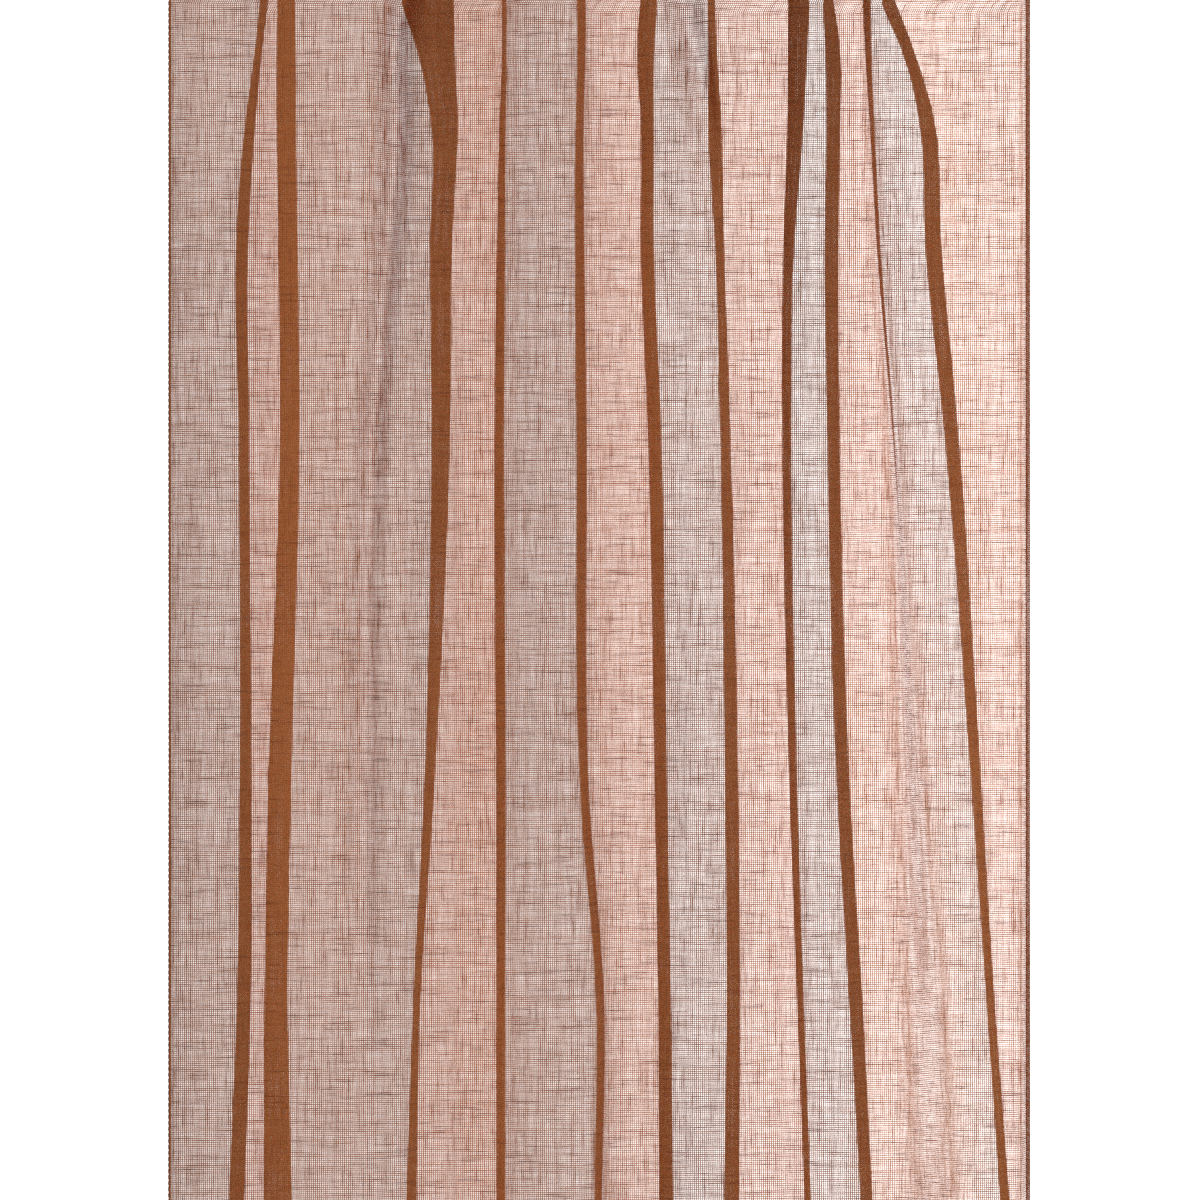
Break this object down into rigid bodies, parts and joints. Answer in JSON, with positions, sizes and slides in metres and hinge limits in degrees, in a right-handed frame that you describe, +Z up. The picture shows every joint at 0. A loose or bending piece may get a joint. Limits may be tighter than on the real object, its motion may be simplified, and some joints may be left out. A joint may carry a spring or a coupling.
{
  "type": "fabric room curtain panel",
  "caption": "Sheer open-weave curtain panel with a gathered pencil-pleat heading, cords, sliding hooks and a weighted hem.",
  "frame": {"origin": "middle of the line on which the hooks hang, at the seats of their crowns", "axes": "+Z up, +X along the rail to the right seen from the room, +Y away from the room towards the window"},
  "size_m": [0.5176, 0.0712, 2.5007],
  "materials": {
    "rust_voile": "matt open plain weave",
    "rust_hem": "matt double and triple cloth",
    "tape": "matt woven tape",
    "cord": "satin braid",
    "weight_cord": "matt sleeve over lead beads",
    "label": "satin",
    "nylon": "moulded, slightly glossy"
  },
  "bodies": {
    "heading": {"heading_band": "rust_hem", "heading_tape": "tape", "gathering_cord_upper": "cord", "gathering_cord_middle": "cord", "gathering_cord_lower": "cord", "hook_1": "nylon"},
    "drop": {"panel_fabric": "rust_voile", "side_hem_left": "rust_hem", "side_hem_right": "rust_hem", "bottom_hem": "rust_hem", "hem_weight_cord": "weight_cord", "care_label": "label"},
    "runner_2": {"hook_2": "nylon"},
    "runner_3": {"hook_3": "nylon"},
    "runner_4": {"hook_4": "nylon"},
    "runner_5": {"hook_5": "nylon"},
    "runner_6": {"hook_6": "nylon"},
    "runner_7": {"hook_7": "nylon"},
    "runner_8": {"hook_8": "nylon"},
    "runner_9": {"hook_9": "nylon"}
  },
  "joints": [
    {"name": "draw", "type": "slide", "parent": "heading", "child": "runner_9", "axis": [-1, 0, 0], "range_m": [0, 0.3016], "deforming": ["heading_band", "heading_tape", "gathering_cord_upper", "gathering_cord_middle", "gathering_cord_lower", "panel_fabric", "side_hem_left", "side_hem_right", "bottom_hem", "hem_weight_cord", "care_label"]},
    {"name": "sway", "type": "hinge", "parent": "heading", "child": "drop", "pos_m": [0, -0.02792, -0.053], "axis": [1, 0, 0], "range_deg": [-10, 10]},
    {"name": "draw_2", "type": "slide", "parent": "heading", "child": "runner_2", "axis": [-1, 0, 0], "range_m": [0, 0.0382]},
    {"name": "draw_3", "type": "slide", "parent": "heading", "child": "runner_3", "axis": [-1, 0, 0], "range_m": [0, 0.0759]},
    {"name": "draw_4", "type": "slide", "parent": "heading", "child": "runner_4", "axis": [-1, 0, 0], "range_m": [0, 0.1136]},
    {"name": "draw_5", "type": "slide", "parent": "heading", "child": "runner_5", "axis": [-1, 0, 0], "range_m": [0, 0.1513]},
    {"name": "draw_6", "type": "slide", "parent": "heading", "child": "runner_6", "axis": [-1, 0, 0], "range_m": [0, 0.189]},
    {"name": "draw_7", "type": "slide", "parent": "heading", "child": "runner_7", "axis": [-1, 0, 0], "range_m": [0, 0.2267]},
    {"name": "draw_8", "type": "slide", "parent": "heading", "child": "runner_8", "axis": [-1, 0, 0], "range_m": [0, 0.2644]}
  ],
  "couplings": [
    {"joint": "draw_2", "follows": "draw", "ratio": 0.125},
    {"joint": "draw_3", "follows": "draw", "ratio": 0.25},
    {"joint": "draw_4", "follows": "draw", "ratio": 0.375},
    {"joint": "draw_5", "follows": "draw", "ratio": 0.5},
    {"joint": "draw_6", "follows": "draw", "ratio": 0.625},
    {"joint": "draw_7", "follows": "draw", "ratio": 0.75},
    {"joint": "draw_8", "follows": "draw", "ratio": 0.875}
  ]
}
